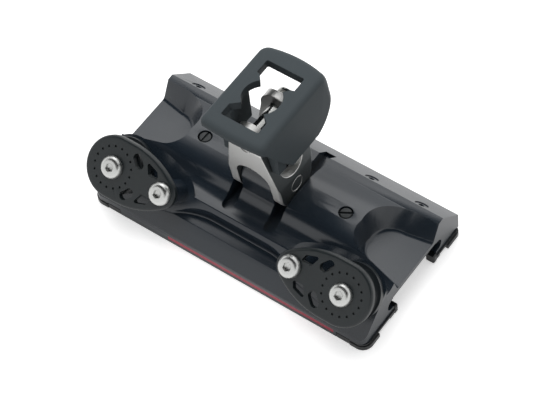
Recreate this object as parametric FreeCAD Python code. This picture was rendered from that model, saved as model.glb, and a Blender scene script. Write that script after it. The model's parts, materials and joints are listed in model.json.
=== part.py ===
import FreeCAD, Part
import math
import os

# Mainsheet traveller car, millimetres, +Z up.
# Origin: middle of the length, on the centreline of the track, on the plane the car stands on.
# +X runs along the track, -Y is the side with the red stripe and the two control sheaves.

V = FreeCAD.Vector

# Car body
half_length = 115.0
near_face = -62.0
far_face = 54.0
tunnel_half = 26.0
tunnel_roof = 21.0
near_slope = 72.0
far_slope = 74.4
shelf_top = 33.0
shelf_end = -32.0
rail_top = 39.0
rail_start = 28.5
rail_dip = 0.6
hump_top = 44.6
hump_crown = 3.0
edge_round = 1.2
end_round = 6.0

# End pockets
pocket_floor = 24.5
pocket_length = 37.5
pocket_far = 23.5
pocket_near = -21.5
pocket_rise = 21.5
pocket_round = 3.5

# Scoop in the near slope
scoop_floor = 20.5
scoop_wall = -41.4
scoop_half = 53.0
scoop_straight = 22.0
scoop_round = 1.5

# Ball tracks
ball_radius = 4.75
groove_clear = 0.3
groove_inset = 1.5
groove_height = 15.0
ball_pitch = 9.75
balls_in_row = 18

# Return caps under the legs
cap_length = 22.5
cap_seat = 6.0
cap_reach = 1.0
foot_reach = 2.0
foot_wide = 0.5
cap_gap = 0.3
cap_relief = 0.9
cap_lip = 11.5
cap_near_corner = end_round + cap_reach
cap_far_corner = 4.0
flange_thick = 2.0
flange_free = 7.0
outer_foot = 16.0
inner_foot = 4.5
guide_low = 0.8
guide_round = 1.4
guide_width = 4.0
guide_rise = 2.2
peg_radius = 2.5
peg_height = 5.0
peg_clear = 0.1

# Control sheaves on the near slope
sheave_x = 95.7
sheave_y = -40.0
sheave_radius = 20.0
sheave_width = 18.6
sheave_gap = 0.3
groove_width = 9.0
groove_depth = 5.6
bush_outer = 7.4
running_clear = 0.1
pad_big = 21.5
pad_small = 13.5
pad_drop = 25.0
pad_base = 22.0
post_reach = 41.4
post_radius = 8.2

# Cheek plates
plate_radius = 22.3
plate_thick = 4.5
plate_round = 2.0
plate_small = 11.0
plate_small_x = -41.3
plate_straight = -9.0
dimple_count = 17
dimple_ring = 14.8
dimple_radius = 0.85
dimple_deep = 1.2
dimple_turn = 13.0

# Button head screws
head_radius = 8.33
head_height = 5.0
shank_radius = 4.75
shank_clear = 0.1
socket_flats = 5.6
socket_deep = 2.6
sheave_screw_bite = 12.0
post_screw_bite = 11.0

# Slotted plugs and strip screws
plug_x = 59.4
plug_y = 1.0
plug_radius = 4.4
plug_height = 5.0
plug_clear = 0.9
plug_sink = 0.4
plug_slot = 1.6
plug_slot_deep = 1.3
strip_screw_x = (54.0, 94.9)
strip_screw_y = 39.7
strip_head = 4.8
strip_head_deep = 2.4
strip_shank = 2.4
strip_length = 9.0
strip_clear = 0.3
strip_sink = 0.6
strip_flats = 4.0
strip_socket_deep = 1.8

# Red stripe on the near face
stripe_start = -50.0
stripe_gap = 2.5
stripe_low = 3.2
stripe_high = 6.8
stripe_inset = 0.3

# Toggle
toggle_y = -1.5
pivot_z = 53.0
pivot_radius = 6.0
boss_half = 13.2
boss_radius = 16.5
fork_half = 21.5
fork_gap = 13.7
slot_clear = 0.6
slot_floor = 28.0
slot_near = -35.0
slot_far = 43.0
fork_foot = 18.0
arch_peak = 78.5
taper_low = 62.0
taper_high = 105.0
ear_half = 13.0
ear_y = 24.0
ear_tip_y = 18.5
ear_bend = 104.0
crotch_radius = 12.5
crotch_z = 78.0
upper_z = 106.5
upper_radius = 5.5
upper_head = 8.0
upper_head_thick = 2.6

# Hood
hood_top = 134.5
hood_half = 25.5
hood_near = -39.0
hood_far = 44.8
hood_far_z = 104.0
hood_top_far = 38.0
hood_ease_far = 2.0
hood_swell = 1.3
hood_foot_far = 30.0
hood_bow_far = 4.0
hood_bow_near = 1.5
hood_wall = 3.4
hood_plate = 7.0
hood_low = 84.6
hood_lip = 6.5
hood_roll = 4.0
hood_corner = 7.0
hood_near_corner = 4.0
far_wall_start = 6.0
window_near = -27.0
window_far = 25.3
window_half = 15.0
jaw_half = 9.3
jaw_near = -12.6
jaw_far = 9.0
jaw_eye = 14.0
side_gap_start = 11.0
side_gap_top = 117.0
rib_gap = 0.2
rib_width = 8.0

tilt = math.sqrt(0.5)
pad_z = near_slope + sheave_y
plate_under = 2 * sheave_gap + sheave_width
plate_over = plate_under + plate_thick
thread_radius = shank_radius + shank_clear
stripe_end = half_length - cap_length - stripe_gap


def box(x0, y0, z0, x1, y1, z1):
    """Block between two corners."""
    return Part.makeBox(x1 - x0, y1 - y0, z1 - z0, V(x0, y0, z0))


def polygon(points):
    """Closed face through points."""
    return Part.Face(Part.makePolygon(points + [points[0]]))


def arc(a, b, c):
    """Edge of a circle through three points."""
    return Part.Arc(a, b, c).toShape()


def line(a, b):
    """Straight edge."""
    return Part.makeLine(a, b)


def face_of(edges):
    """Face inside a closed run of edges."""
    return Part.Face(Part.Wire(edges))


def rod(radius, height, base, axis=V(0, 0, 1)):
    """Cylinder from base along axis."""
    return Part.makeCylinder(radius, height, base, axis)


def cut_all(shape, tools):
    """Shape less every tool."""
    for tool in tools:
        shape = shape.cut(tool)
    return shape


def fuse_all(shape, others):
    """Shape joined with every other."""
    for other in others:
        shape = shape.fuse(other)
    return shape.removeSplitter()


def both_ends(shape):
    """Shape at the +X end and its mirror at the -X end."""
    return [shape, shape.mirror(V(0, 0, 0), V(1, 0, 0))]


def on_slope(shape):
    """Move a piece drawn at the sheave centre (x, up the slope, out) onto the near slope."""
    turned = shape.copy()
    turned.rotate(V(0, 0, 0), V(1, 0, 0), 45)
    turned.translate(V(sheave_x, sheave_y, pad_z))
    return turned


def rounded(shape, radius, test):
    """Round every edge for which the test on its middle point and its box holds."""
    edges = [e for e in shape.Edges if test(e.CenterOfMass, e.BoundBox)]
    return shape.makeFillet(radius, edges)


def solid_of(shape):
    """The single solid of a shape."""
    return shape.Solids[0] if len(shape.Solids) == 1 else shape


def save(name, shape):
    """Write one node."""
    shape.exportStep("parts/" + name + ".step")


# Outline of the body across the track, with the tunnel for the track left open below
def section():
    """Cross section of the body as a face in the plane x = 0."""
    def p(y, z):
        return V(0, y, z)

    near_low = near_slope + near_face
    ridge = shelf_top - near_slope
    rail_end = far_slope - rail_top
    far_low = far_slope - far_face
    edges = [
        line(p(near_face, 0), p(near_face, near_low)),
        line(p(near_face, near_low), p(ridge, shelf_top)),
        line(p(ridge, shelf_top), p(shelf_end, shelf_top)),
        arc(p(shelf_end, shelf_top), p(shelf_end + 5.8, shelf_top + 1.4), p(shelf_end + 10, shelf_top + 4.6)),
        arc(p(shelf_end + 10, shelf_top + 4.6), p(shelf_end + 14, hump_top - 3.4),
            p(shelf_end + 20, hump_top - 1)),
        arc(p(shelf_end + 20, hump_top - 1), p(hump_crown, hump_top), p(rail_start, rail_top - rail_dip)),
        line(p(rail_start, rail_top - rail_dip), p(rail_end, rail_top)),
        line(p(rail_end, rail_top), p(far_face, far_low)),
        line(p(far_face, far_low), p(far_face, 0)),
        line(p(far_face, 0), p(tunnel_half, 0)),
        line(p(tunnel_half, 0), p(tunnel_half, tunnel_roof)),
        line(p(tunnel_half, tunnel_roof), p(-tunnel_half, tunnel_roof)),
        line(p(-tunnel_half, tunnel_roof), p(-tunnel_half, 0)),
        line(p(-tunnel_half, 0), p(near_face, 0)),
    ]
    return face_of(edges)


# Pocket let into the top at each end, with leaning walls and a rounded floor
def pocket():
    """Cutter for the pocket at the +X end."""
    out = half_length + 3

    def outline(z, grow):
        inner = half_length - pocket_length - 6 * grow
        far = pocket_far + 10.7 * grow
        near = pocket_near - 6.3 * grow
        a = V(out, far, z)
        b = V(inner + 17.5 + 8 * grow, far - 4.5 + 6.7 * grow, z)
        c = V(inner, 1.5, z)
        d = V(inner + 11.5 + 1.8 * grow, near + 8, z)
        e = V(out, near, z)
        mid_far = V(inner + 4 + 3.8 * grow, far - 10 + 3.5 * grow, z)
        mid_near = V(inner + 2, near + 13.5 + 2.3 * grow, z)
        return Part.Wire([line(a, b), arc(b, mid_far, c), arc(c, mid_near, d), line(d, e), line(e, a)])

    cutter = Part.makeLoft([outline(pocket_floor, 0), outline(pocket_floor + pocket_rise, 1)], True, True)
    return rounded(cutter, pocket_round,
                   lambda m, b: abs(b.ZMax - pocket_floor) < 1e-3 and m.x < out - 1)


# Scoop between the sheaves: a level floor and an upright wall that curves down to the slope at its ends
def scoop():
    """Cutter for the scoop."""
    w = scoop_half
    c = scoop_straight
    crease = scoop_floor - near_slope
    run = w - c
    drop = scoop_wall - crease
    bend = (run ** 2 + drop ** 2) / (2 * drop)
    middle = V(c + run / 2, scoop_wall - bend + math.sqrt(bend ** 2 - (run / 2) ** 2), scoop_floor)

    def left(point):
        return V(-point.x, point.y, point.z)

    tip = V(w, crease, scoop_floor)
    start = V(c, scoop_wall, scoop_floor)
    out = V(w, near_face, scoop_floor)
    plan = face_of([
        line(left(start), start),
        arc(start, middle, tip),
        line(tip, out),
        line(out, left(out)),
        line(left(out), left(tip)),
        arc(left(tip), left(middle), left(start)),
    ])
    cutter = plan.extrude(V(0, 0, shelf_top - scoop_floor + edge_round))
    return rounded(cutter, scoop_round, lambda m, b: b.ZMax < scoop_floor + 1e-3 and abs(m.x) < w
                   and m.y > crease + 0.1)


# Teardrop outline shared by the cheek plates and the pads under the sheaves
def teardrop(big, small):
    """Teardrop face at the sheave centre from the radii of its two ends.

    A straight run and then a large arc, touching the small circle from outside, join the two ends.
    """
    run = plate_small_x - plate_straight
    large = (run ** 2 + big ** 2 - small ** 2) / (2 * (big - small))
    centre = V(plate_straight, big - large, 0)
    toward = V(plate_small_x, 0, 0).sub(centre)
    toward.normalize()
    touch = centre.add(V(toward).multiply(large))
    half_way = toward.add(V(0, 1, 0))
    half_way.normalize()
    middle = centre.add(half_way.multiply(large))

    def low(point):
        return V(point.x, -point.y, 0)

    top = V(0, big, 0)
    bend = V(plate_straight, big, 0)
    edges = [
        arc(low(top), V(big, 0, 0), top),
        line(top, bend),
        arc(bend, middle, touch),
        arc(touch, V(plate_small_x - small, 0, 0), low(touch)),
        arc(low(touch), low(middle), low(bend)),
        line(low(bend), low(top)),
    ]
    return face_of(edges)


# Car body
def car_body():
    """Body with its tunnel, pockets, scoop, pads, posts, boss and every hole."""
    face = section()
    face.translate(V(-half_length, 0, 0))
    body = face.extrude(V(2 * half_length, 0, 0))
    body = rounded(body, edge_round, lambda m, b: b.XLength > half_length and m.z > 5
                   and abs(m.y) > tunnel_half + 1 and abs(m.y - shelf_end) > 1)
    corner_x = half_length - end_round
    corner_y = near_face + end_round
    corner = box(corner_x, near_face - 1, -1, half_length + 1, corner_y, shelf_top)
    corner = corner.cut(rod(end_round, shelf_top + 1, V(corner_x, corner_y, -1)))
    body = cut_all(body, both_ends(corner) + both_ends(pocket()) + [scoop()])

    # Pads and posts that carry the sheaves
    pad = on_slope(teardrop(pad_big, pad_small)).extrude(V(0, 0, -pad_drop))
    pad = pad.common(box(0, near_face, pad_base, half_length, far_face, hump_top + 10))
    post = on_slope(rod(post_radius, plate_under + 6, V(-post_reach, 0, -6)))
    body = fuse_all(body, both_ends(pad) + both_ends(post))

    # Slots for the cheeks of the fork
    slot_in = boss_half
    slot_out = fork_half + slot_clear
    slot_r = (slot_out - slot_in) / 2
    slot = box(slot_in, slot_near + slot_r, slot_floor, slot_out, slot_far, hump_top + 10)
    slot = slot.fuse(rod(slot_r, hump_top, V(slot_in + slot_r, slot_near + slot_r, slot_floor)))
    body = cut_all(body, both_ends(slot))

    # Boss that carries the pivot
    boss = rod(boss_radius, 2 * boss_half, V(-boss_half, toggle_y, pivot_z), V(1, 0, 0))
    foot = box(-boss_half, toggle_y - boss_radius, slot_floor, boss_half, toggle_y + boss_radius, pivot_z)
    boss = boss.common(box(-boss_half, near_face, slot_floor, boss_half, far_face, hood_top))
    body = fuse_all(body, [boss, foot])

    # Holes
    tools = [rod(pivot_radius + running_clear, 2 * fork_half, V(-fork_half, toggle_y, pivot_z), V(1, 0, 0))]
    tools += both_ends(on_slope(rod(thread_radius, sheave_screw_bite + 1, V(0, 0, -sheave_screw_bite))))
    tools += both_ends(on_slope(rod(thread_radius, post_screw_bite + 1,
                                    V(-post_reach, 0, plate_under - post_screw_bite))))
    tools += both_ends(rod(plug_radius + plug_clear, plug_height + 5,
                           V(plug_x, plug_y, hump_top - plug_sink - plug_height)))
    for x in strip_screw_x:
        tools += both_ends(strip_screw(x, strip_clear, strip_sink + 1))

    # Ball grooves, wrapped past the middle of the balls
    groove = ball_radius + groove_clear
    for side in (-1, 1):
        base = V(-half_length - 1, side * (tunnel_half + groove_inset), groove_height)
        tools.append(rod(groove, 2 * half_length + 2, base, V(1, 0, 0)))

    # Steps for the return caps and the holes for their pegs
    for side_low, side_high in cap_spans():
        step = box(half_length - cap_length - cap_gap, side_low - 1, -1,
                   half_length + 1, side_high + 1, cap_seat)
        tools += both_ends(step)
        for y in peg_rows(side_low, side_high):
            tools += both_ends(rod(peg_radius + peg_clear, peg_height + cap_gap, V(peg_x(), y, cap_seat)))

    # Seat for the stripe
    tools.append(box(stripe_start, near_face - 1, stripe_low,
                     stripe_end, near_face + stripe_inset, stripe_high))
    return cut_all(body, tools)


def cap_spans():
    """Width of each leg, near and far."""
    return ((near_face, -tunnel_half), (tunnel_half, far_face))


def peg_x():
    """Where the pegs of a cap stand along the car."""
    return half_length - cap_lip / 2


def peg_rows(low, high):
    """The two places across a leg where a cap has its pegs."""
    middle = (low + high) / 2
    return (middle - 6, middle + 6)


# Return caps
def return_cap(low, high):
    """Cap under the +X end of one leg: lip, end flange on two feet, ball guide and two pegs."""
    x0 = half_length - cap_length
    x1 = half_length + cap_reach
    x2 = half_length + foot_reach
    outer = high if high > 0 else low
    edge = low if high > 0 else high
    inward = -1 if high > 0 else 1
    corner = cap_far_corner if high > 0 else cap_near_corner
    block = box(x0, low, 0, x1, high, cap_seat)
    block = rounded(block, corner, lambda m, b: b.ZLength > 1 and abs(m.x - x1) < 0.1
                    and abs(m.y - outer) < 0.1)
    relief = box(x0 - 1, low - 1, cap_seat - cap_relief,
                 half_length - cap_lip, high + 1, cap_seat + 1)

    # Under the flange the cap is free between its two feet, and the inner foot stands back
    foot_side = outer + inward * outer_foot
    foot_back = edge - inward * inner_foot
    under = cap_seat - flange_thick
    free = box(x1 - flange_free, min(foot_side, foot_back), -1,
               x1 + 1, max(foot_side, foot_back), under)
    back = box(half_length, min(foot_side, edge + inward), -1,
               x1 + 1, max(foot_side, edge + inward), under)
    foot_out = outer - inward * foot_wide
    foot = box(half_length - cap_lip, min(foot_out, foot_side), 0, x2, max(foot_out, foot_side), under)
    foot = rounded(foot, corner + foot_reach - cap_reach,
                   lambda m, b: b.ZLength > 1 and abs(m.x - x2) < 0.1 and abs(m.y - foot_out) < 0.1)
    block = fuse_all(cut_all(block, [relief, free, back]), [foot])

    # Guide for the balls along the tunnel wall, and the pegs
    guide = box(peg_x(), min(edge, edge + inward * guide_width), guide_low,
                x1, max(edge, edge + inward * guide_width), cap_seat + guide_rise)
    guide = rounded(guide, guide_round, lambda m, b: b.XLength < 0.1 and abs(m.x - x1) < 0.1)
    pegs = [rod(peg_radius, peg_height, V(peg_x(), y, cap_seat)) for y in peg_rows(low, high)]
    return fuse_all(block, [guide] + pegs)


# Balls of one row, each a separate solid
def ball_row(side):
    """Row of balls in the groove of one leg, standing on the floor of the groove."""
    y = side * (tunnel_half + groove_inset)
    z = groove_height - groove_clear
    first = -ball_pitch * (balls_in_row - 1) / 2
    balls = [Part.makeSphere(ball_radius, V(first + i * ball_pitch, y, z)) for i in range(balls_in_row)]
    return Part.makeCompound(balls)


# Sheave with a round groove for the line
def sheave():
    """Sheave turned about the axis of its bush."""
    lo = sheave_gap
    hi = sheave_gap + sheave_width
    mid = (lo + hi) / 2
    r = sheave_radius
    half = groove_width / 2
    bore = bush_outer + running_clear
    edges = [
        line(V(bore, 0, lo), V(r - 0.8, 0, lo)),
        line(V(r - 0.8, 0, lo), V(r, 0, lo + 0.8)),
        line(V(r, 0, lo + 0.8), V(r, 0, mid - half)),
        arc(V(r, 0, mid - half), V(r - groove_depth, 0, mid), V(r, 0, mid + half)),
        line(V(r, 0, mid + half), V(r, 0, hi - 0.8)),
        line(V(r, 0, hi - 0.8), V(r - 0.8, 0, hi)),
        line(V(r - 0.8, 0, hi), V(bore, 0, hi)),
        line(V(bore, 0, hi), V(bore, 0, lo)),
    ]
    return on_slope(solid_of(face_of(edges).revolve(V(0, 0, 0), V(0, 0, 1), 360)))


# Bush that the sheave turns on
def axle_bush():
    """Plain tube between the pad and the cheek plate."""
    tube = rod(bush_outer, plate_under, V(0, 0, 0)).cut(rod(thread_radius, plate_under, V(0, 0, 0)))
    return on_slope(tube)


# Cheek plate with two slots and two triangles
def rounded_slot(a, b, radius):
    """Prism through the plate for a slot with round ends."""
    along = b.sub(a)
    along.normalize()
    side = V(-along.y, along.x, 0).multiply(radius)
    edges = [
        line(a.add(side), b.add(side)),
        arc(b.add(side), b.add(V(along).multiply(radius)), b.sub(side)),
        line(b.sub(side), a.sub(side)),
        arc(a.sub(side), a.sub(V(along).multiply(radius)), a.add(side)),
    ]
    return face_of(edges).extrude(V(0, 0, plate_thick + 2))


def sideplate():
    """Cheek plate over the sheave at the +X end."""
    top = plate_over
    plate = teardrop(plate_radius, plate_small)
    plate.translate(V(0, 0, plate_under))
    plate = plate.extrude(V(0, 0, plate_thick))
    plate = plate.makeFillet(plate_round, [e for e in plate.Edges if abs(e.BoundBox.ZMin - top) < 1e-3])
    base = plate_under - 1
    tools = [rod(thread_radius, plate_thick + 2, V(x, 0, base)) for x in (0, -post_reach)]
    for side in (-1, 1):
        tools.append(rounded_slot(V(-18.7, side * 10.7, base), V(-15.4, side * 14.3, base), 3.2))
        window = polygon([V(-36.0, side * 7.2, base), V(-33.6, side * 12.4, base),
                          V(-23.4, side * 15.8, base), V(-27.6, side * 7.2, base)])
        tools.append(rounded(window.extrude(V(0, 0, plate_thick + 2)), 1.2, lambda m, b: b.ZLength > 1))

    # Ring of drilled dimples round the head of the sheave screw
    for i in range(dimple_count):
        angle = math.radians(dimple_turn + 360 * i / dimple_count)
        place = V(dimple_ring * math.cos(angle), dimple_ring * math.sin(angle), top - dimple_deep)
        tools.append(rod(dimple_radius, dimple_deep + 1, place))
    return on_slope(cut_all(plate, tools))


# Button head screw with a hexagon socket
def button_screw(x, bite):
    """Screw through the cheek plate at x from the sheave centre, reaching a depth below the plate."""
    r = head_radius
    h = head_height
    low = plate_over
    edges = [
        line(V(0, 0, low), V(r, 0, low)),
        line(V(r, 0, low), V(r, 0, low + 0.8)),
        arc(V(r, 0, low + 0.8), V(r * 0.82, 0, low + h * 0.7), V(r * 0.5, 0, low + h)),
        line(V(r * 0.5, 0, low + h), V(0, 0, low + h)),
        line(V(0, 0, low + h), V(0, 0, low)),
    ]
    head = solid_of(face_of(edges).revolve(V(0, 0, 0), V(0, 0, 1), 360))
    corner = socket_flats / math.sqrt(3)
    hexagon = [V(corner * math.cos(math.radians(60 * i)), corner * math.sin(math.radians(60 * i)), low + h)
               for i in range(6)]
    head = head.cut(polygon(hexagon).extrude(V(0, 0, -socket_deep)))
    shank = rod(shank_radius, bite + plate_thick, V(0, 0, low - plate_thick - bite))
    screw = fuse_all(head, [shank])
    screw.translate(V(x, 0, 0))
    return on_slope(screw)


def button_pair(x, bite):
    """The same screw at both ends of the car."""
    return Part.makeCompound([solid_of(s) for s in both_ends(button_screw(x, bite))])


# Plug with a screwdriver slot
def slotted_plug(x, angle):
    """Flush plug in the top of the hump with its slot turned to an angle."""
    top = hump_top - plug_sink
    plug = rod(plug_radius, plug_height, V(0, 0, top - plug_height))
    rim = [e for e in plug.Edges if abs(e.BoundBox.ZMin - top) < 1e-3]
    plug = plug.makeChamfer(0.5, rim)
    groove = box(-plug_radius, -plug_slot / 2, top - plug_slot_deep, plug_radius, plug_slot / 2, top + 1)
    groove.rotate(V(0, 0, 0), V(0, 0, 1), angle)
    plug = plug.cut(groove)
    plug.translate(V(x, plug_y, 0))
    return plug


# Countersunk screw in the far slope
def strip_screw(x, grow, above):
    """Screw, or its hole when grown, sunk square into the far slope at x."""
    r = strip_head + grow
    body = Part.makeCone(strip_shank + grow, r, strip_head_deep, V(0, 0, -strip_head_deep))
    body = body.fuse(rod(strip_shank + grow, strip_length + grow, V(0, 0, -strip_length - grow)))
    if above > 0:
        body = body.fuse(rod(r, above, V(0, 0, 0)))
    return on_far_slope(body.removeSplitter(), x)


def on_far_slope(shape, x):
    """Move a piece drawn upright at the origin below the far slope by the sink of its screw."""
    turned = shape.copy()
    turned.translate(V(0, 0, -strip_sink))
    turned.rotate(V(0, 0, 0), V(1, 0, 0), -45)
    turned.translate(V(x, strip_screw_y, far_slope - strip_screw_y))
    return turned


def strip_screw_set():
    """Four screws with hexagon sockets."""
    screws = []
    corner = strip_flats / math.sqrt(3)
    points = [V(corner * math.cos(math.radians(60 * i)), corner * math.sin(math.radians(60 * i)), 1)
              for i in range(6)]
    for x in strip_screw_x:
        socket = on_far_slope(polygon(points).extrude(V(0, 0, -1 - strip_socket_deep)), x)
        screws += both_ends(strip_screw(x, 0, 0).cut(socket))
    return Part.makeCompound([solid_of(s) for s in screws])


# Fork of the toggle
def toggle_fork():
    """Fork with two cheeks round the boss and two ears above, one near and one far."""
    def p(y, z):
        return V(-fork_half, y, z)

    top = upper_z + ear_half
    near = [p(-fork_foot, pivot_z), p(-ear_y, ear_bend), p(-ear_tip_y, top)]
    far = [p(-q.y, q.z) for q in reversed(near)]
    points = near + far
    edges = [line(points[i], points[i + 1]) for i in range(len(points) - 1)]
    edges.append(arc(points[-1], p(0, pivot_z - fork_foot), points[0]))
    fork = face_of(edges).extrude(V(2 * fork_half, 0, 0))

    # Front outline: upright cheeks that taper into ears with round tops
    def q(x, z):
        return V(x, -ear_y - 5, z)

    front = face_of([
        line(q(-fork_half, 0), q(-fork_half, taper_low)),
        line(q(-fork_half, taper_low), q(-ear_half, taper_high)),
        line(q(-ear_half, taper_high), q(-ear_half, upper_z)),
        arc(q(-ear_half, upper_z), q(0, top), q(ear_half, upper_z)),
        line(q(ear_half, upper_z), q(ear_half, taper_high)),
        line(q(ear_half, taper_high), q(fork_half, taper_low)),
        line(q(fork_half, taper_low), q(fork_half, 0)),
        line(q(fork_half, 0), q(-fork_half, 0)),
    ]).extrude(V(0, 2 * ear_y + 10, 0))
    fork = fork.common(front)

    # Arched way over the boss, and the crotch between the ears
    spring = arch_peak - fork_gap
    way = box(-fork_gap, -ear_y - 5, 0, fork_gap, ear_y + 5, spring)
    way = way.fuse(rod(fork_gap, 2 * ear_y + 10, V(0, -ear_y - 5, spring), V(0, 1, 0)))
    crotch = box(-fork_half - 1, -crotch_radius, crotch_z, fork_half + 1, crotch_radius, top + 1)
    crotch = crotch.fuse(rod(crotch_radius, 2 * fork_half + 2, V(-fork_half - 1, 0, crotch_z), V(1, 0, 0)))
    fork = cut_all(fork, [way, crotch])
    edges = [e for e in fork.Edges if abs(abs(e.CenterOfMass.x) - fork_half) < 1e-3
             and e.BoundBox.XLength < 1e-3]
    fork = fork.makeChamfer(1.2, edges)
    holes = [rod(pivot_radius, 2 * fork_half + 2, V(-fork_half - 1, 0, pivot_z), V(1, 0, 0)),
             rod(upper_radius, 2 * ear_y + 2, V(0, -ear_y - 1, upper_z), V(0, 1, 0))]
    fork = cut_all(fork, holes)
    fork.translate(V(0, toggle_y, 0))
    return fork


def pivot_pin():
    """Pin pressed into the cheeks, flush with both."""
    pin = rod(pivot_radius, 2 * fork_half, V(-fork_half, toggle_y, pivot_z), V(1, 0, 0))
    return pin.makeChamfer(0.4, [e for e in pin.Edges if e.BoundBox.XLength < 1e-3])


def clevis_pin():
    """Upper pin across the ears, headed on the far side, that carries the block."""
    pin = rod(upper_radius, 2 * ear_y + 0.6, V(0, -ear_y, upper_z), V(0, 1, 0))
    head = rod(upper_head, upper_head_thick, V(0, ear_y + 0.05, upper_z), V(0, 1, 0))
    head = head.makeChamfer(0.6, [e for e in head.Edges if abs(e.CenterOfMass.y - ear_y - 0.05) > 1
                                  and e.BoundBox.YLength < 1e-3])
    pin = fuse_all(pin, [head])
    pin.translate(V(0, toggle_y, 0))
    return pin


# Moulded hood over the ears
def hood_plan(far, z, inset=0.0):
    """Outline of the hood at a height: straight sides, bowed near and far ends, round corners."""
    w = hood_half - inset

    def end(tip, sign, bow, c):
        """Arc of one bowed end at its tip and the two points where its corner leaves the side."""
        large = (w ** 2 + bow ** 2) / (2 * bow)
        middle = V(0, tip - sign * large, z)
        centre = V(w - c, tip - sign * large + sign * math.sqrt((large - c) ** 2 - (w - c) ** 2), z)
        out = centre.sub(middle)
        out.normalize()
        bisector = out.add(V(1, 0, 0))
        bisector.normalize()
        return V(w, centre.y, z), centre.add(bisector.multiply(c)), centre.add(V(out).multiply(c))

    def left(point):
        return V(-point.x, point.y, z)

    start, half_way, stop = end(far - inset, 1, hood_bow_far, hood_corner - inset)
    near = hood_near + inset
    near_start, near_half, near_stop = end(near, -1, hood_bow_near, hood_near_corner)
    return Part.Wire([
        line(near_start, start),
        arc(start, half_way, stop),
        arc(stop, V(0, far - inset, z), left(stop)),
        arc(left(stop), left(half_way), left(start)),
        line(left(start), left(near_start)),
        arc(left(near_start), left(near_half), left(near_stop)),
        arc(left(near_stop), V(0, near, z), near_stop),
        arc(near_stop, near_half, near_start),
    ])


def toggle_hood():
    """Hood open at the near end and below, with a window on top that has two jaws on each long side."""
    shoulder = hood_top - hood_roll
    shoulder_far = hood_top_far + hood_ease_far
    bulge = hood_far - 0.7
    bulge_z = hood_far_z + 8
    far_side = ((hood_foot_far, hood_low), (hood_far - 6, hood_far_z - 13.5),
                (hood_far - 1.6, hood_far_z - 6.5), (hood_far, hood_far_z), (bulge, bulge_z),
                ((bulge + shoulder_far + hood_swell) / 2, (bulge_z + shoulder) / 2),
                (shoulder_far, shoulder))
    solid = Part.makeLoft([hood_plan(far, z) for far, z in far_side], True, False)
    rim = []
    for i in range(6):
        turn = math.radians(18 * i)
        rise = math.sin(turn)
        far = shoulder_far + (hood_top_far - shoulder_far) * rise
        rim.append(hood_plan(far, shoulder + hood_roll * rise, hood_roll * (1 - math.cos(turn))))
    solid = fuse_all(solid, [Part.makeLoft(rim, True, True)])

    # Slanting mouth at the near end
    def p(y, z):
        return V(-hood_half - 1, y, z)

    mouth = polygon([p(hood_near - 1, hood_low - 1), p(hood_near - 1, hood_top - hood_lip),
                     p(hood_near + 1, hood_top - hood_lip), p(hood_near + 5.5, hood_top - 10.5),
                     p(hood_near + 20, hood_low + 15.4), p(hood_near + 27, hood_low + 5.4),
                     p(hood_near + 32, hood_low - 1)])
    solid = solid.cut(mouth.extrude(V(2 * hood_half + 2, 0, 0)))

    # Hollow below the top plate, leaving a far wall on the +X side
    inner = hood_half - hood_wall
    room = box(-inner, -60, hood_low - 10, inner, 60, hood_top - hood_plate)
    behind = solid.copy()
    behind.translate(V(0, -hood_wall, 0))
    kept = box(far_wall_start, 0, 0, hood_half, 60, hood_top).cut(behind)
    hood = solid.cut(room.cut(kept))
    x = window_half
    t = jaw_half
    e = math.sqrt(jaw_eye ** 2 - t ** 2)
    middle = (jaw_near + jaw_far) / 2
    reach = math.sqrt(jaw_eye ** 2 - 36)
    z = hood_top - hood_plate - 1
    up = hood_plate + 5
    window = polygon([V(-x, window_near, z), V(x, window_near, z), V(x, window_far, z), V(-x, window_far, z)])
    window = rounded(window.extrude(V(0, 0, up)), 1.2, lambda m, b: b.ZLength > 5)
    jaws = []
    for sign in (-1, 1):
        jaw = polygon([V(sign * (x + 1), jaw_near - 5.5, z), V(sign * (x - 1), jaw_near - 4, z),
                       V(sign * t, jaw_near, z), V(sign * t, jaw_far, z),
                       V(sign * (x - 2.6), jaw_far + 4, z), V(sign * (x + 1), jaw_far + 5, z)])
        jaws.append(jaw.extrude(V(0, 0, up)))
    eye = rod(jaw_eye, up, V(0, middle, z))
    window = window.cut(jaws[0]).cut(jaws[1]).fuse(eye.common(window))
    gap = box(-hood_half - 1, side_gap_start, hood_low - 10, -inner + 1, 60, side_gap_top)
    hood = cut_all(hood, [window, gap])

    # Wedge ribs that sit on the tapered sides of the ears
    def wedge(sign):
        top = hood_top - hood_plate + 0.5
        slope = (fork_half - ear_half) / (taper_high - taper_low)
        low_x = ear_half + (taper_high - hood_low) * slope + rib_gap
        return polygon([V(sign * (inner + 0.5), 0, hood_low), V(sign * low_x, 0, hood_low),
                        V(sign * (ear_half + rib_gap), 0, taper_high), V(sign * (ear_half + rib_gap), 0, top),
                        V(sign * (inner + 0.5), 0, top)]).extrude(V(0, rib_width, 0))

    ribs = []
    for sign, start in ((-1, -ear_tip_y), (1, -ear_tip_y), (1, crotch_radius)):
        rib = wedge(sign)
        rib.translate(V(0, toggle_y + start, 0))
        ribs.append(rib)
    return fuse_all(hood, ribs)


def red_stripe():
    """Thin inlaid stripe on the near face."""
    return box(stripe_start, near_face, stripe_low, stripe_end, near_face + stripe_inset, stripe_high)


os.makedirs("parts", exist_ok=True)

save("car_body", car_body())
save("red_stripe", red_stripe())

for side_name, (leg_low, leg_high) in zip(("near", "far"), cap_spans()):
    right, left = both_ends(return_cap(leg_low, leg_high))
    save("return_cap_" + side_name + "_right", right)
    save("return_cap_" + side_name + "_left", left)

save("ball_row_near", ball_row(-1))
save("ball_row_far", ball_row(1))

for name, shape in (("sheave", sheave()), ("axle_bush", axle_bush()), ("sideplate", sideplate())):
    right, left = both_ends(shape)
    save(name + "_right", right)
    save(name + "_left", left)

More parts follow.
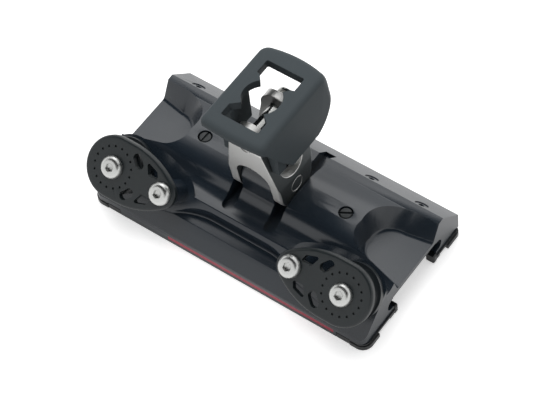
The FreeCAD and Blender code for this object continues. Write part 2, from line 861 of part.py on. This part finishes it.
save("sheave_screws", button_pair(0, plate_under + sheave_screw_bite - 1))
save("post_screws", button_pair(-post_reach, post_screw_bite - 1))
save("slotted_plugs", Part.makeCompound([slotted_plug(-plug_x, 88), slotted_plug(plug_x, 30)]))
save("strip_screws", strip_screw_set())
save("toggle_fork", toggle_fork())
save("pivot_pin", pivot_pin())
save("clevis_pin", clevis_pin())
save("toggle_hood", toggle_hood())
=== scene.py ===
# %% [markdown]
# # A mainsheet traveller car
# The car rolls on balls along a track across a sailing boat's deck and carries the block of the
# mainsheet. CAD gives the shapes, the places and the joints. This script gives them their finishes,
# their fine edges and the smooth round pieces that the eye looks at, in the same frame and in metres.
# Sizes of the car are named in mm, as CAD has them, and MM turns them into metres.

# %% The fixed frame
import json
import math
import bmesh
import bpy
import numpy as np
from mathutils import Matrix, Vector

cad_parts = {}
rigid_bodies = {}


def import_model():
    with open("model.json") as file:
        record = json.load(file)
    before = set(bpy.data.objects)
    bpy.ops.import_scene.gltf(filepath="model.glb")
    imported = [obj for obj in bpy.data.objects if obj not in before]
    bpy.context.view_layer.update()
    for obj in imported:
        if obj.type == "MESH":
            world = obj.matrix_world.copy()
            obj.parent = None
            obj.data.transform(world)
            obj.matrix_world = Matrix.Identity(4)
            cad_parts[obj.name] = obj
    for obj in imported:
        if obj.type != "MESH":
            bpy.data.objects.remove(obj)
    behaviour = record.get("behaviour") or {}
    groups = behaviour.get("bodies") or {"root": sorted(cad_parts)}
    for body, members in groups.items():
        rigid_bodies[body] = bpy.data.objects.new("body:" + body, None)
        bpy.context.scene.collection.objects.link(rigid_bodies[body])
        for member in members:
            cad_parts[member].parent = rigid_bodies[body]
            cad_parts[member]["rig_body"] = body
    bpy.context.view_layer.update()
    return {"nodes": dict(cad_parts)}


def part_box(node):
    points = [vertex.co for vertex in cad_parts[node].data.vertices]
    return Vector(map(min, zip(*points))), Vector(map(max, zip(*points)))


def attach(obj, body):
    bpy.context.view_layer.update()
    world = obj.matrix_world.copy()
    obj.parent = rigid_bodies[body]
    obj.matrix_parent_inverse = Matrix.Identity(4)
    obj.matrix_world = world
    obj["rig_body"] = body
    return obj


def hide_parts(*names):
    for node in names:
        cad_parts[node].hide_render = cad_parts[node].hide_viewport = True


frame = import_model()
MM = 0.001

# %% [markdown]
# Colours are picked as sRGB hex values, the way a paint chart gives them, but Blender computes with
# linear light. One function turns the one into the other. A second one adds a shader node with its
# settings and links, so that a material reads as a short list of what is joined to what.

# %% Colour and node helpers


def linear(hex_colour):
    """sRGB hex to linear: up to 0.04045 divide by 12.92, above it ((c + 0.055) / 1.055) to the power 2.4."""
    c = np.array([int(hex_colour[i:i + 2], 16) for i in (1, 3, 5)]) / 255
    c = np.where(c <= 0.04045, c / 12.92, ((c + 0.055) / 1.055) ** 2.4)
    return (*c.tolist(), 1.0)


def add(tree, kind, inputs=None, **settings):
    """Add one node: settings are its properties, inputs are values to set or sockets to link."""
    node = tree.nodes.new("ShaderNode" + kind)
    for key, value in settings.items():
        setattr(node, key, value)
    for key, value in (inputs or {}).items():
        if isinstance(value, bpy.types.NodeSocket):
            tree.links.new(value, node.inputs[key])
        else:
            node.inputs[key].default_value = value
    return node


def new_finish(name, colour, **sockets):
    """Start a material from the Principled shader: colour is hex, the rest are its sockets by name."""
    made = bpy.data.materials.new(name)
    made.use_nodes = True
    shader = made.node_tree.nodes["Principled BSDF"]
    shader.inputs["Base Color"].default_value = linear(colour)
    for key, value in sockets.items():
        shader.inputs[key.replace("_", " ")].default_value = value
    return made


print("near black is", [round(v, 4) for v in linear("#202327")])

# %% [markdown]
# The body, the cheek plates and the sheaves are aluminium with a black hard anodised skin. To the
# eye that is not a metal: the dyed oxide hides the metal and shines like a dull glaze, brighter at a
# glancing angle. So the shader is a dark non-metal with the refraction of aluminium oxide turned
# down by its pores. The blast or the cutter leaves a grain, which breaks up the shine. It could be a
# picture, but a noise in Object coordinates stays sharp close up and needs no unwrapping.

# %% Grain in millimetres
PATCH = 24.0


def grain(made, size, depth, stretch=(1, 1, 1), shine=None):
    """Bumps of a size and depth in mm; where shine is given, patches of roughness between its two ends."""
    tree = made.node_tree
    shader = tree.nodes["Principled BSDF"]
    place = add(tree, "TexCoord").outputs["Object"]
    place = add(tree, "Mapping", {"Vector": place, "Scale": stretch}).outputs[0]
    noise = add(tree, "TexNoise", {"Vector": place, "Scale": 1 / (size * MM), "Detail": 2.0})
    bump = add(tree, "Bump", {"Height": noise.outputs[0], "Distance": depth * MM, "Strength": 1.0})
    tree.links.new(bump.outputs[0], shader.inputs["Normal"])
    if shine:
        patches = add(tree, "TexNoise", {"Vector": place, "Scale": 1 / (PATCH * MM), "Detail": 3.0})
        rough = add(tree, "MapRange", {"Value": patches.outputs[0], "To Min": shine[0], "To Max": shine[1]})
        tree.links.new(rough.outputs[0], shader.inputs["Roughness"])
    return made


# The real grain is near 0.05 mm. It is drawn at 0.35 to 0.5 mm so that the render can show it.
body_anodised = grain(new_finish("Hard_anodised_milled_aluminium", "#1C242C", IOR=1.6),
                      size=0.45, depth=0.01, stretch=(0.5, 1, 1), shine=(0.2, 0.3))
plate_anodised = grain(new_finish("Blasted_anodised_aluminium_plate", "#1A2022", IOR=1.5),
                       size=0.35, depth=0.03, shine=(0.34, 0.44))
print("anodised finishes ready")

# %% [markdown]
# A sheave is turned on a lathe before it is anodised, so fine rings run round its axis. The wave
# texture draws rings round the Z axis. A Mapping node brings each sheave's axis to the origin and
# turns it upright, because the sheaves lean by 45 degrees with the slope that they sit on. The phase
# of the wave is 20 times its scaled distance, so its scale is pi / 10 divided by the rings' pitch.

# %% Turned finishes
LEAN = math.radians(45)
# Real rings are near 0.2 mm apart. They are drawn 0.8 mm apart so that the render can show them.
RING_PITCH, RING_DEPTH = 0.8, 0.01


def turned_rings(made, centre):
    """Rings of a lathe tool round an axis that goes through centre and leans by LEAN about X."""
    tree = made.node_tree
    place = add(tree, "TexCoord").outputs["Object"]
    turn = add(tree, "Mapping", {"Vector": place, "Location": centre, "Rotation": (LEAN, 0, 0)},
               vector_type="TEXTURE")
    rings = add(tree, "TexWave", {"Vector": turn.outputs[0], "Scale": math.pi / (10 * RING_PITCH * MM),
                                  "Distortion": 0.4, "Detail": 1.0}, wave_type="RINGS", rings_direction="Z")
    bump = add(tree, "Bump", {"Height": rings.outputs[1], "Distance": RING_DEPTH * MM})
    tree.links.new(bump.outputs[0], tree.nodes["Principled BSDF"].inputs["Normal"])
    return made


def middle(node):
    """Middle of a node's box."""
    low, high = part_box(node)
    return Vector([(a + b) / 2 for a, b in zip(low, high)])


sheave_finish = {}
for side in ("left", "right"):
    made = new_finish("Turned_anodised_sheave_" + side, "#1A1F22", IOR=1.55, Roughness=0.34)
    sheave_finish[side] = turned_rings(made, middle("sheave_" + side))
print("sheave centres mm", [[round(v / MM, 1) for v in middle("sheave_" + s)] for s in sheave_finish])

# %% [markdown]
# The fork, the pins and the button heads are stainless steel. A true metal takes its colour from its
# reflection, so Metallic is 1 and the refraction stays at its default. Tumbling leaves the fork
# satin bright, with shallow dents about 2 mm wide, and the heads come a little brighter from the
# press. The upper pin is ground and mirrors most. Faces of this steel that look along X are painted
# darker: painted shade for the dark surroundings that the fork's flanks mirror.
# The hood and the return caps are moulded plastic. The eggshell of its mould takes nearly all the
# shine from the hood, so its specular level is turned down, and the caps come smoother and blacker.
# The plugs are blackened, the balls have the soft gleam of tumbled plastic, and the stripe is a
# smooth printed film.

# %% Steel and plastic finishes


def paint_shaded_flanks(made, colour):
    """Painted shade: give a metal another colour where its faces look along X, to darken them. The size of
    the normal's X picks it.
    """
    tree = made.node_tree
    shader = tree.nodes["Principled BSDF"]
    facing = add(tree, "SeparateXYZ", {0: add(tree, "TexCoord").outputs["Normal"]})
    amount = add(tree, "Math", {0: facing.outputs["X"]}, operation="ABSOLUTE")
    amount = add(tree, "MapRange", {"Value": amount.outputs[0], "From Min": 0.75, "From Max": 0.97})
    mix = add(tree, "Mix", {"Factor": amount.outputs[0]}, data_type="RGBA")
    mix.inputs[6].default_value = shader.inputs["Base Color"].default_value
    mix.inputs[7].default_value = linear(colour)
    tree.links.new(mix.outputs[2], shader.inputs["Base Color"])
    return made


fork_steel = grain(new_finish("Tumbled_stainless_steel_painted_shaded_flanks", "#DADAD8", Metallic=1.0),
                   size=2.0, depth=0.006, shine=(0.4, 0.5))
# Painted shade: the fork's faces that look along X are painted #5E6263, darker than the bright steel.
fork_steel = paint_shaded_flanks(fork_steel, "#5E6263")
head_steel = grain(new_finish("Pressed_stainless_steel", "#D2D3D1", Metallic=1.0),
                   size=1.2, depth=0.004, shine=(0.3, 0.38))
pin_steel = new_finish("Ground_stainless_steel", "#C9CAC8", Metallic=1.0, Roughness=0.2)
dark_steel = grain(new_finish("Blackened_stainless_steel", "#1E2224", IOR=1.5, Roughness=0.45),
                   size=0.5, depth=0.02)
hood_plastic = grain(new_finish("Moulded_eggshell_nylon", "#454B4E", IOR=1.46, Specular_IOR_Level=0.05),
                     size=0.4, depth=0.03, shine=(0.38, 0.48))
cap_plastic = grain(new_finish("Moulded_black_acetal", "#131618", IOR=1.5, Roughness=0.25),
                    size=0.5, depth=0.01)
ball_plastic = new_finish("Tumbled_ball_plastic", "#8A7A55", IOR=1.6, Roughness=0.3)
red_film = grain(new_finish("Red_printed_film", "#A83246", IOR=1.48, Roughness=0.4),
                 size=0.5, depth=0.01)
print("finishes", len(bpy.data.materials))

# %% [markdown]
# Most CAD pieces only lack what a file or a tumbler does: no real edge is perfectly sharp, and a
# thin bright line along each edge is what makes a milled part look real. A CAD mesh is loose
# triangles, so a copy is merged and its flat areas joined first. A Bevel modifier then rounds every
# edge sharper than a limit. The copy stands in for its node. The strip screws are flush and as black
# as the body, so they take its finish.

# %% Softened copies of CAD pieces
SAME_POINT = 0.001
FLAT = math.radians(0.5)
SHARP = math.radians(32)


def soften(node, finish, width):
    """Stand-in for a CAD node with one finish and its edges rounded to a width in mm."""
    source = frame["nodes"][node]
    mesh = source.data.copy()
    work = bmesh.new()
    work.from_mesh(mesh)
    bmesh.ops.remove_doubles(work, verts=work.verts, dist=SAME_POINT * MM)
    bmesh.ops.dissolve_limit(work, angle_limit=FLAT, verts=work.verts, edges=work.edges)
    work.to_mesh(mesh)
    work.free()
    mesh.materials.clear()
    mesh.materials.append(finish)
    mesh.shade_smooth()
    mesh.set_sharp_from_angle(angle=SHARP)
    piece = bpy.data.objects.new(node + "_softened", mesh)
    bpy.context.scene.collection.objects.link(piece)
    rounding = piece.modifiers.new("edge_rounding", "BEVEL")
    rounding.width, rounding.segments = width * MM, 3
    rounding.limit_method, rounding.angle_limit = "ANGLE", SHARP
    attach(piece, source["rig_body"])
    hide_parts(node)
    return piece


softened = [
    soften("car_body", body_anodised, width=0.45),
    soften("toggle_hood", hood_plastic, width=0.5),
    soften("toggle_fork", fork_steel, width=0.4),
    soften("red_stripe", red_film, width=0.08),
    soften("slotted_plugs", dark_steel, width=0.15),
    soften("strip_screws", body_anodised, width=0.15),
]
for side in ("left", "right"):
    softened.append(soften("sideplate_" + side, plate_anodised, width=0.2))
    softened += [soften(f"return_cap_{leg}_{side}", cap_plastic, width=0.3) for leg in ("near", "far")]
print("softened", [piece.name for piece in softened])

# %% [markdown]
# Round pieces are surfaces of revolution: a profile, given as distances from the axis and heights
# along it, is swept round the axis. That is one formula on a grid of two parameters, so numpy works
# out all the points at once. The corners of a profile are rounded first, as a turner breaks them.

# %% Profiles and surfaces of revolution


def broken_corners(points, radius, steps=4, most=0.45):
    """Open profile whose inner corners are quadratic curves from a radius before to a radius after.

    A curve takes at most a share of each side, so that two curves never meet on a short side.
    """
    points = np.array(points, float)
    t = np.linspace(0, 1, num=steps)[:, None]
    rows = [points[:1]]
    for before, corner, after in zip(points, points[1:], points[2:]):
        first = corner + (before - corner) * min(radius / np.linalg.norm(before - corner), most)
        last = corner + (after - corner) * min(radius / np.linalg.norm(after - corner), most)
        rows.append((1 - t) ** 2 * first + 2 * t * (1 - t) * corner + t ** 2 * last)
    return np.concatenate(rows + [points[-1:]])


def revolved(profile, centre, axis, steps=96):
    """Grid of points: centre + height * axis + radius * (cos angle * one side + sin angle * other)."""
    axis = np.array(axis) / np.linalg.norm(axis)
    side = np.cross(axis, (0, 0, 1) if abs(axis[2]) < 0.9 else (1, 0, 0))
    side = side / np.linalg.norm(side)
    other = np.cross(axis, side)
    angle = np.linspace(0, 2 * np.pi, num=steps, endpoint=False)[None, :, None]
    radius, height = profile[:, 0, None, None], profile[:, 1, None, None]
    return np.array(centre) + height * axis + radius * (np.cos(angle) * side + np.sin(angle) * other)


def woven(grid, start=0):
    """Quads between the rows of a grid whose columns close on themselves."""
    index = np.arange(grid.shape[0] * grid.shape[1]).reshape(grid.shape[:2]) + start
    low, high = index[:-1], index[1:]
    quads = np.stack([low, np.roll(low, -1, 1), np.roll(high, -1, 1), high], -1)
    return quads.reshape(-1, 4)


def smooth_piece(name, grids, finish, *nodes, sharpest=40):
    """One object in metres from grids in mm: doubles at poles and seams merged, faces turned outwards."""
    start, points, quads = 0, [], []
    for grid in grids:
        points.append(grid.reshape(-1, 3))
        quads.append(woven(grid, start))
        start += points[-1].shape[0]
    mesh = bpy.data.meshes.new(name)
    mesh.from_pydata((np.concatenate(points) * MM).tolist(), [], np.concatenate(quads).tolist())
    work = bmesh.new()
    work.from_mesh(mesh)
    bmesh.ops.remove_doubles(work, verts=work.verts, dist=SAME_POINT * MM)
    bmesh.ops.recalc_face_normals(work, faces=work.faces)
    work.to_mesh(mesh)
    work.free()
    mesh.materials.append(finish)
    mesh.shade_smooth()
    mesh.set_sharp_from_angle(angle=math.radians(sharpest))
    piece = bpy.data.objects.new(name, mesh)
    bpy.context.scene.collection.objects.link(piece)
    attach(piece, frame["nodes"][nodes[0]]["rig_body"])
    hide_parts(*nodes)
    print(name, "faces", len(mesh.polygons))
    return piece


# %% [markdown]
# The sheave carries the control line in a round groove between two flanges. Its profile is closed:
# up the bore, out along a flange, down through the groove, which is an arc, and back. The groove is
# the one part that could not be a plain chamfered cylinder, because the line has to lie in it.

# %% Sheaves
SHEAVE_AXIS = (0, -math.sin(LEAN), math.cos(LEAN))
SHEAVE_RADIUS, SHEAVE_BORE, SHEAVE_HALF, FLANGE_BREAK = 20.0, 7.5, 9.3, 0.7
GROOVE_HALF, GROOVE_DEPTH = 4.5, 5.6
RECESS_IN, RECESS_OUT, RECESS_SLOPE, RECESS_DEEP = 14.2, 17.8, 0.6, 0.5


def sheave_profile():
    """Closed profile: a ring turned into each flange, and an arc through the groove's lips and floor.

    The arc's radius is (half width squared + depth squared) / (2 * depth).
    """
    bend = (GROOVE_HALF ** 2 + GROOVE_DEPTH ** 2) / (2 * GROOVE_DEPTH)
    reach = math.atan2(GROOVE_HALF, bend - GROOVE_DEPTH)
    angle = np.linspace(-reach, reach, num=17)
    across = SHEAVE_RADIUS + bend - GROOVE_DEPTH - bend * np.cos(angle)
    groove = np.stack([across, bend * np.sin(angle)], -1)
    face = -SHEAVE_HALF
    ring = [(RECESS_IN, face), (RECESS_IN + RECESS_SLOPE, face + RECESS_DEEP),
            (RECESS_OUT - RECESS_SLOPE, face + RECESS_DEEP), (RECESS_OUT, face)]
    outline = [(SHEAVE_BORE, 0), (SHEAVE_BORE, face)] + ring + [(SHEAVE_RADIUS, face), groove[0]]
    low = broken_corners(outline, FLANGE_BREAK)
    high = low[::-1] * (1, -1)
    return np.concatenate([low, groove[1:-1], high])


for side in sheave_finish:
    grid = revolved(sheave_profile(), middle("sheave_" + side) / MM, SHEAVE_AXIS, steps=128)
    smooth_piece("grooved_sheave_" + side, [grid], sheave_finish[side], "sheave_" + side)

# %% [markdown]
# A button head is a low dome with a hexagon socket for the key. The dome is a surface of
# revolution, but the socket isn't: its outline is a hexagon, whose distance from the axis is the
# half width across flats divided by the cosine of the angle to the nearest flat. Rows of the same
# grid pass from the round dome to that outline, down the wall and over the cone that the drill left.
# The heads stand on the cheek plates, two over the sheaves and two over the posts.

# %% Button head screws
HEAD_RADIUS, HEAD_HEIGHT, HEAD_RIM, HEAD_BREAK = 8.33, 5.0, 0.8, 0.3
DOME_FLAT, DOME_OUT, DOME_UP = 0.58, 1.6, 0.9
SHANK_RADIUS, SHANK_TIP, SHEAVE_BITE, POST_BITE = 4.75, 0.8, 34.7, 14.5
SOCKET_HALF, SOCKET_LIP, SOCKET_DEEP = 2.8, 0.35, 2.6
DRILL_SHARE, DRILL_STEP, DRILL_CONE = 0.8, 0.1, 1.0
PLATE_GAP, PLATE_THICK, POST_REACH = 0.3, 4.5, 41.4


def button_head(seat, bite):
    """Grid of one screw: seat + height * axis + radius * outward, with its shank's tip bite below seat.

    Over the dome t runs from rim to socket. The radius falls with t to the power DOME_OUT, down to the
    share DOME_FLAT of itself, and the height rises with the sine of t * pi / 2 to the power DOME_UP.
    """
    steps = 96
    angle = np.linspace(0, 2 * np.pi, num=steps, endpoint=False)
    hexagon = SOCKET_HALF / np.cos((angle + np.pi / 6) % (np.pi / 3) - np.pi / 6)
    t = np.linspace(0, 1, num=9)
    dome_radius = HEAD_RADIUS - (1 - DOME_FLAT) * HEAD_RADIUS * t ** DOME_OUT
    dome_height = HEAD_RIM + (HEAD_HEIGHT - HEAD_RIM) * np.sin(t * np.pi / 2) ** DOME_UP
    floor = HEAD_HEIGHT - SOCKET_DEEP
    rows = [(0, -bite), (SHANK_RADIUS - SHANK_TIP, -bite), (SHANK_RADIUS, -bite + SHANK_TIP),
            (SHANK_RADIUS, 0), (HEAD_RADIUS - HEAD_BREAK, 0), (HEAD_RADIUS, HEAD_BREAK)]
    rows += list(zip(dome_radius, dome_height))
    rows += [(hexagon + SOCKET_LIP, HEAD_HEIGHT), (hexagon, HEAD_HEIGHT - HEAD_BREAK), (hexagon, floor),
             (hexagon * DRILL_SHARE, floor - DRILL_STEP), (0, floor - DRILL_CONE)]
    radius = np.stack([row[0] * np.ones(steps) for row in rows])[..., None]
    height = np.stack([row[1] * np.ones(steps) for row in rows])[..., None]
    axis = np.array(SHEAVE_AXIS)
    side = np.array((1.0, 0.0, 0.0))
    other = np.cross(axis, side)
    outward = np.cos(angle)[:, None] * side + np.sin(angle)[:, None] * other
    return np.array(seat) + height * axis + radius * outward


plate_top = (SHEAVE_HALF + PLATE_GAP + PLATE_THICK) * np.array(SHEAVE_AXIS)
seats = {side: np.array(middle("sheave_" + side)) / MM + plate_top for side in sheave_finish}
inward = {"left": np.array((POST_REACH, 0, 0)), "right": np.array((-POST_REACH, 0, 0))}
over_sheaves = [button_head(seats[side], SHEAVE_BITE) for side in seats]
over_posts = [button_head(seats[side] + inward[side], POST_BITE) for side in seats]
smooth_piece("button_screws_over_sheaves", over_sheaves, head_steel, "sheave_screws")
smooth_piece("button_screws_over_posts", over_posts, head_steel, "post_screws")

# %% [markdown]
# The pins are ground rods with broken ends. The upper pin has a wide flat head on the far side,
# which stops it in one direction. Each is one profile from axis to axis, so the poles at both ends
# close when doubles are merged. The lower pin's ends look like the fork in the photograph, so it has
# the fork's finish. The bushes sit inside the sheaves and only take the steel of the upper pin.

# %% Pins and bushes
PIVOT_RADIUS, CLEVIS_RADIUS, CLEVIS_HEAD, HEAD_THICK, PIN_BREAK = 6.0, 5.5, 8.0, 2.6, 0.5


def pin_grid(node, along, profile):
    """Pin on the middle line of a node's box: profile heights start at the box's low end along an axis."""
    low, high = (np.array(c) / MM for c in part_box(node))
    start = (low + high) / 2
    start[along] = low[along]
    return revolved(broken_corners(profile, PIN_BREAK), start, np.eye(3)[along], steps=64)


def length_of(node, along):
    """Length of a node's box in mm along one axis."""
    low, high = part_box(node)
    return (high[along] - low[along]) / MM


end = length_of("pivot_pin", 0)
grid = pin_grid("pivot_pin", 0, [(0, 0), (PIVOT_RADIUS, 0), (PIVOT_RADIUS, end), (0, end)])
# fork_steel holds painted shade, so the pin's end faces, which look along X, are painted darker.
smooth_piece("pivot_pin_ground", [grid], fork_steel, "pivot_pin")
end = length_of("clevis_pin", 1)
neck = end - HEAD_THICK
grid = pin_grid("clevis_pin", 1, [(0, 0), (CLEVIS_RADIUS, 0), (CLEVIS_RADIUS, neck),
                                  (CLEVIS_HEAD, neck), (CLEVIS_HEAD, end), (0, end)])
smooth_piece("clevis_pin_ground", [grid], pin_steel, "clevis_pin")
for side in sheave_finish:
    frame["nodes"]["axle_bush_" + side].data.materials.clear()
    frame["nodes"]["axle_bush_" + side].data.materials.append(pin_steel)

# %% [markdown]
# The car's weight runs on two rows of plastic balls in grooves along the legs. A ball is a sphere:
# radius times the cosine of the latitude across, and times its sine upwards. All the balls of a row
# share one grid formula with a shift along the row, and a few hundred faces each are plenty at their size.

# %% Balls
BALL_RADIUS, BALL_PITCH, BALLS_IN_ROW = 4.75, 9.75, 18


def ball_grids(node):
    """Spheres of a row: radius * cos latitude turned round Z, radius * sin latitude up, a pitch apart."""
    place = np.array(middle(node)) / MM
    latitude = np.linspace(-np.pi / 2, np.pi / 2, num=13)
    profile = np.stack([BALL_RADIUS * np.cos(latitude), BALL_RADIUS * np.sin(latitude)], -1)
    shifts = (np.arange(BALLS_IN_ROW) - (BALLS_IN_ROW - 1) / 2) * BALL_PITCH
    return [revolved(profile, place + (shift, 0, 0), (0, 0, 1), steps=24) for shift in shifts]


for leg in ("near", "far"):
    smooth_piece("balls_" + leg, ball_grids("ball_row_" + leg), ball_plastic, "ball_row_" + leg, sharpest=60)

# %% [markdown]
# The photograph was taken from above the near side with a long lens. The camera's place and turn
# were solved from the car's level edges and mirror pairs. A long lens keeps both ends of the car
# almost equally large, which is how hardware is shown in a catalogue.

# %% Camera
view = bpy.data.cameras.new("studio_camera")
view.sensor_width, view.lens = 36.0, 147.446
view.clip_start, view.clip_end = 0.05, 20
camera = bpy.data.objects.new("studio_camera", view)
right = Vector((0.81111786, 0.58006453, -0.0749197))
up = Vector((-0.44372087, 0.6937376, 0.56730938))
back = Vector((0.38105067, -0.42691134, 0.82008969))
stand = Vector((0.58568, -0.66227, 1.28217))
camera.matrix_world = Matrix.Translation(stand) @ Matrix((right, up, back)).transposed().to_4x4()
bpy.context.scene.collection.objects.link(camera)
bpy.context.scene.camera = camera
bpy.context.scene.view_settings.view_transform = "Standard"
print("camera distance m", round(camera.location.length, 3))

# %% [markdown]
# Dark shiny pieces show their shape by what they mirror. The studio is white wherever the camera or
# a reflection looks, so glancing faces turn pale as they do in the photograph, but for scattered
# light the world is dimmer, so that faces seen square on stay dark. A soft box stands high at the
# far left, where faces that look straight up mirror it, as in the photograph. A larger lamp overhead
# only gives scattered light, for the hood and the floor, and is kept out of all reflections.

# %% Light
WORLD_DIM, WORLD_WHITE = 0.45, 1.0
world = bpy.data.worlds.new("studio")
bpy.context.scene.world = world
world.use_nodes = True
tree = world.node_tree
tree.nodes.clear()
path = add(tree, "LightPath").outputs
seen = add(tree, "Math", {0: path["Is Camera Ray"], 1: path["Is Glossy Ray"]}, operation="MAXIMUM")
seen = add(tree, "Math", {0: seen.outputs[0], 1: path["Is Transmission Ray"]}, operation="MAXIMUM")
dim = add(tree, "Background", {"Color": (1, 1, 1, 1), "Strength": WORLD_DIM})
white = add(tree, "Background", {"Color": (1, 1, 1, 1), "Strength": WORLD_WHITE})
mix = add(tree, "MixShader", {0: seen.outputs[0], 1: dim.outputs[0], 2: white.outputs[0]})
add(tree, "OutputWorld", {"Surface": mix.outputs[0]})


def soft_box(name, place, target, size, power):
    """A square lamp at a place, turned to a target, with its size in metres and its power in watts."""
    data = bpy.data.lights.new(name, "AREA")
    data.shape, data.size, data.energy = "SQUARE", size, power
    lamp = bpy.data.objects.new(name, data)
    lamp.location = place
    lamp.rotation_euler = (Vector(target) - Vector(place)).to_track_quat("-Z", "Y").to_euler()
    bpy.context.scene.collection.objects.link(lamp)
    return lamp


soft_box("key_softbox", place=(-0.58, 0.92, 1.17), target=(0, 0, 0.05), size=0.9, power=3.1)
overhead = soft_box("top_softbox", place=(-0.3, 0.2, 1.6), target=(0, 0, 0), size=1.4, power=18)
overhead.visible_glossy = False
print("lamps", [lamp.name for lamp in bpy.data.lights])

# %% [markdown]
# A photographer stands in a dark room, and shiny dark metal shows that room as its deepest blacks.
# A sheet that hangs behind the camera and bends over the car does the same here. Faces that look
# up and towards the camera mirror it, the camera never sees it, and it takes no scattered light away.

# %% Dark room behind the camera and overhead


def staged_sheet(name, points, faces, finish):
    """A sheet of flat faces between points in metres that belongs to the studio, not to the car."""
    mesh = bpy.data.meshes.new(name)
    mesh.from_pydata(points, [], faces)
    mesh.materials.append(finish)
    piece = bpy.data.objects.new(name, mesh)
    bpy.context.scene.collection.objects.link(piece)
    return piece


ROOM_HALF, ROOM_NEAR, ROOM_FAR, ROOM_LOW, ROOM_HIGH = 3.0, -1.5, 0.55, 1.3, 2.5
bend = [(ROOM_NEAR, ROOM_LOW), (ROOM_NEAR, ROOM_HIGH), (ROOM_FAR, ROOM_HIGH)]
corners = [(x, y, z) for x in (-ROOM_HALF, ROOM_HALF) for y, z in bend]
room_paint = new_finish("dark_room_paint", "#08090A", Roughness=0.9, Specular_IOR_Level=0.1)
room = staged_sheet("dark_room", corners, [(0, 1, 4, 3), (1, 2, 5, 4)], room_paint)
room.visible_diffuse = False  # it takes no scattered light away
print("dark room faces", len(room.data.polygons))

# %% [markdown]
# The floor is a pale sheet, wide enough to fill the background. A picture for a catalogue is
# exposed until its paper turns white, so the sheet gives off a little light of its own to the
# camera and to reflections, and plain white paint takes the soft shadow of the car.

# %% Floor
FLOOR_HALF, PAPER_GLOW, MIRRORED_GLOW = 4, 0.5, 0.15
paper = bpy.data.materials.new("Pale_studio_paper")
paper.use_nodes = True
tree = paper.node_tree
tree.nodes.clear()
path = add(tree, "LightPath").outputs
plain = add(tree, "BsdfDiffuse", {"Color": linear("#F4F4F4")})
glow = add(tree, "Emission", {"Color": (1, 1, 1, 1), "Strength": PAPER_GLOW})
faint = add(tree, "Emission", {"Color": (1, 1, 1, 1), "Strength": MIRRORED_GLOW})
lit = add(tree, "AddShader", {0: plain.outputs[0], 1: glow.outputs[0]})
mirrored = add(tree, "AddShader", {0: plain.outputs[0], 1: faint.outputs[0]})
mix = add(tree, "MixShader", {0: path["Is Glossy Ray"], 1: plain.outputs[0], 2: mirrored.outputs[0]})
mix = add(tree, "MixShader", {0: path["Is Camera Ray"], 1: mix.outputs[0], 2: lit.outputs[0]})
add(tree, "OutputMaterial", {"Surface": mix.outputs[0]})
corners = [(-FLOOR_HALF, -FLOOR_HALF, 0), (FLOOR_HALF, -FLOOR_HALF, 0),
           (FLOOR_HALF, FLOOR_HALF, 0), (-FLOOR_HALF, FLOOR_HALF, 0)]
staged_sheet("floor", corners, [(0, 1, 2, 3)], paper)
print("floor half width m", FLOOR_HALF)
